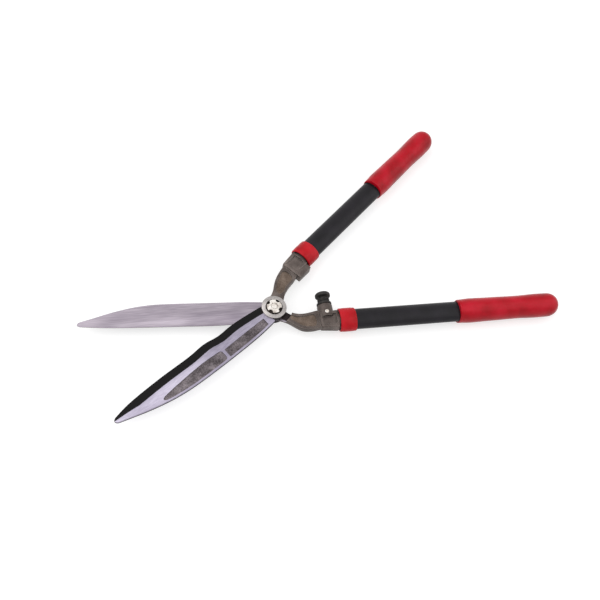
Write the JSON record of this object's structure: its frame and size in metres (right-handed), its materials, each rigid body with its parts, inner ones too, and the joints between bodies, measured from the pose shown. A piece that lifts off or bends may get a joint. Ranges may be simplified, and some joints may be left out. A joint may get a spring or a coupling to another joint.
{
  "type": "hedge shears",
  "caption": "Manual hedge shears with drop-forged crossing blades on an adjustable pivot, oval tube handles, moulded grips and a sprung rubber bumper stop.",
  "frame": {"origin": "on the pivot axis, at the outer flat face of the pivot bolt's head", "axes": "+Z along the pivot axis from the bolt head to the adjusting nut; +X from the pivot to the handles, midway between them; the blades point to -X"},
  "size_m": [0.598, 0.3392, 0.0347],
  "materials": {
    "forged_steel": "forged and part ground",
    "black_tube": "satin black paint",
    "red_plastic": "satin",
    "bright_steel": "zinc plated",
    "black_plastic": "matte",
    "bronze": "plain",
    "black_rubber": "matte"
  },
  "bodies": {
    "rear_half": {"rear_blade": "forged_steel", "rear_tube": "black_tube", "rear_collar": "red_plastic", "rear_grip": "red_plastic", "rear_tang_pin": "bright_steel", "rear_tube_plug": "black_plastic", "pivot_bolt": "bright_steel", "pivot_nut": "bright_steel", "pivot_washer": "bright_steel", "spring_washer": "bright_steel", "friction_washer": "bronze", "bumper_stud": "bright_steel", "bumper_lock_screw": "bright_steel", "bumper_body": "black_rubber"},
    "front_half": {"front_blade": "forged_steel", "front_tube": "black_tube", "front_collar": "red_plastic", "front_grip": "red_plastic", "front_tang_pin": "bright_steel", "front_tube_plug": "black_plastic"},
    "bumper_head": {"bumper_cap": "black_rubber"}
  },
  "joints": [
    {"name": "blade_pivot", "type": "hinge", "parent": "rear_half", "child": "front_half", "pos_m": [0, 0, 0.01155], "axis": [0, 0, 1], "range_deg": [-27.8, 50]},
    {"name": "bumper_squeeze", "type": "slide", "parent": "rear_half", "child": "bumper_head", "axis": [-0.3551, -0.9348, 0], "range_m": [0, 0.002], "stiffness_N_per_m": 20000}
  ]
}
